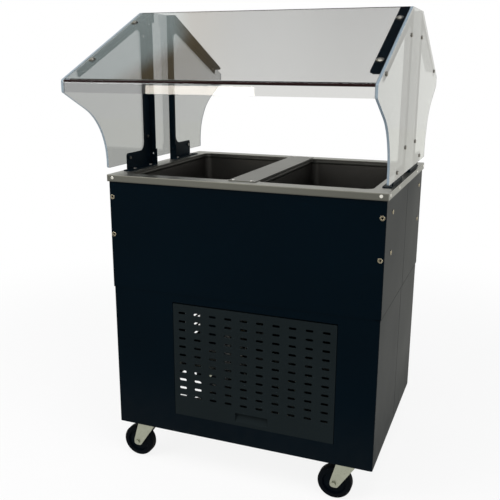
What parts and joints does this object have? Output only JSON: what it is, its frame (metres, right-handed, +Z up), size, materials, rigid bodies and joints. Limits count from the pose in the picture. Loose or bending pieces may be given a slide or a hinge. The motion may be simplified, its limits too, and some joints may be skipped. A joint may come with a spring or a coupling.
{
  "type": "mobile salad bar",
  "caption": "Mobile cold salad bar: stainless deck with twin wells, dark steel cabinet on swivel casters, clear sloped sneeze guard on folded brackets.",
  "frame": {"origin": "centre of the footprint, on the floor under the casters", "axes": "+Z up; +X to the right and -Y to the front, for a person facing the grille panel"},
  "size_m": [0.8108, 1, 1.355],
  "materials": {
    "acrylic": "clear, polished",
    "black_paint": "gloss black",
    "body_paint": "semi-gloss near-black navy",
    "bracket_paint": "satin black powder coat",
    "brass_ring": "bright",
    "bright_steel": "bright",
    "copper": "drawn copper tube",
    "deck_stainless": "brushed",
    "fins": "mill",
    "foam": "rigid foam",
    "galvanised": "zinc plated, dull",
    "grille_paint": "semi-gloss near-black",
    "plastic_black": "moulded",
    "plastic_red": "dipped handle",
    "plastic_white": "moulded pipe",
    "rubber": "matte",
    "switch_green": "moulded",
    "tyre": "satin",
    "well_stainless": "brushed, dark in shade",
    "zinc": "zinc plated, bright"
  },
  "bodies": {
    "cabinet": {"base_pan": "galvanised", "bracket_left_front": "bracket_paint", "bracket_left_rear": "bracket_paint", "bracket_right_front": "bracket_paint", "bracket_right_rear": "bracket_paint", "caster_bolts": "zinc", "caster_plate_left_front": "zinc", "caster_plate_left_rear": "zinc", "caster_plate_right_front": "zinc", "caster_plate_right_rear": "zinc", "compressor": "black_paint", "condenser_coil": "fins", "control_box": "plastic_black", "cooling_coils": "copper", "deck_screws": "bright_steel", "deck_top": "deck_stainless", "discharge_line": "copper", "divider_cover": "deck_stainless", "drain_fittings": "well_stainless", "drain_pipe": "plastic_white", "drain_valve": "brass_ring", "end_panel_left": "acrylic", "end_panel_right": "acrylic", "fan_motor": "black_paint", "fan_shroud": "galvanised", "foot_screws": "bright_steel", "front_shield": "acrylic", "inner_frame": "galvanised", "insulation": "foam", "liquid_line": "copper", "lower_shell_front": "body_paint", "lower_shell_rear": "body_paint", "panel_screws": "bright_steel", "shell_rivets": "brass_ring", "shield_screws": "bright_steel", "shield_washers": "rubber", "suction_line": "copper", "unit_base": "galvanised", "upper_shell_front": "body_paint", "upper_shell_rear": "body_paint", "well_liner_left": "well_stainless", "well_liner_right": "well_stainless"},
    "swivel_left_front": {"caster_fork_left_front": "zinc", "caster_axle_left_front": "zinc"},
    "roll_left_front": {"caster_wheel_left_front": "tyre"},
    "swivel_left_rear": {"caster_fork_left_rear": "zinc", "caster_axle_left_rear": "zinc"},
    "roll_left_rear": {"caster_wheel_left_rear": "tyre"},
    "swivel_right_front": {"caster_fork_right_front": "zinc", "caster_axle_right_front": "zinc"},
    "roll_right_front": {"caster_wheel_right_front": "tyre"},
    "swivel_right_rear": {"caster_fork_right_rear": "zinc", "caster_axle_right_rear": "zinc"},
    "roll_right_rear": {"caster_wheel_right_rear": "tyre"},
    "access_panel": {"grille_panel": "grille_paint"},
    "fan": {"fan_rotor": "fins"},
    "knob": {"temperature_knob": "plastic_black"},
    "rocker": {"power_switch": "switch_green"},
    "lever": {"valve_lever": "plastic_red"}
  },
  "joints": [
    {"name": "caster_left_front_swivel", "type": "hinge", "parent": "cabinet", "child": "swivel_left_front", "pos_m": [-0.319, -0.264, 0.12], "axis": [0, 0, 1], "continuous": true},
    {"name": "caster_left_front_roll", "type": "hinge", "parent": "swivel_left_front", "child": "roll_left_front", "pos_m": [-0.352, -0.264, 0.05], "axis": [0, 1, 0], "continuous": true},
    {"name": "caster_left_rear_swivel", "type": "hinge", "parent": "cabinet", "child": "swivel_left_rear", "pos_m": [-0.319, 0.264, 0.12], "axis": [0, 0, 1], "continuous": true},
    {"name": "caster_left_rear_roll", "type": "hinge", "parent": "swivel_left_rear", "child": "roll_left_rear", "pos_m": [-0.352, 0.264, 0.05], "axis": [0, 1, 0], "continuous": true},
    {"name": "caster_right_front_swivel", "type": "hinge", "parent": "cabinet", "child": "swivel_right_front", "pos_m": [0.319, -0.264, 0.12], "axis": [0, 0, 1], "continuous": true},
    {"name": "caster_right_front_roll", "type": "hinge", "parent": "swivel_right_front", "child": "roll_right_front", "pos_m": [0.286, -0.264, 0.05], "axis": [0, 1, 0], "continuous": true},
    {"name": "caster_right_rear_swivel", "type": "hinge", "parent": "cabinet", "child": "swivel_right_rear", "pos_m": [0.319, 0.264, 0.12], "axis": [0, 0, 1], "continuous": true},
    {"name": "caster_right_rear_roll", "type": "hinge", "parent": "swivel_right_rear", "child": "roll_right_rear", "pos_m": [0.286, 0.264, 0.05], "axis": [0, 1, 0], "continuous": true},
    {"name": "access_panel_out", "type": "slide", "parent": "cabinet", "child": "access_panel", "axis": [0, -1, 0], "range_m": [0, 0.12]},
    {"name": "fan_spin", "type": "hinge", "parent": "cabinet", "child": "fan", "pos_m": [-0.088, 0.0125, 0.2675], "axis": [1, 0, 0], "continuous": true},
    {"name": "temperature_turn", "type": "hinge", "parent": "cabinet", "child": "knob", "pos_m": [-0.078, -0.25, 0.1965], "axis": [0, -1, 0], "range_deg": [0, 270]},
    {"name": "power_rock", "type": "hinge", "parent": "cabinet", "child": "rocker", "pos_m": [-0.027, -0.247, 0.1965], "axis": [1, 0, 0], "range_deg": [-12, 12]},
    {"name": "drain_valve_turn", "type": "hinge", "parent": "cabinet", "child": "lever", "pos_m": [0.332, -0.03, 0.33], "axis": [0, 1, 0], "range_deg": [-90, 0]}
  ]
}
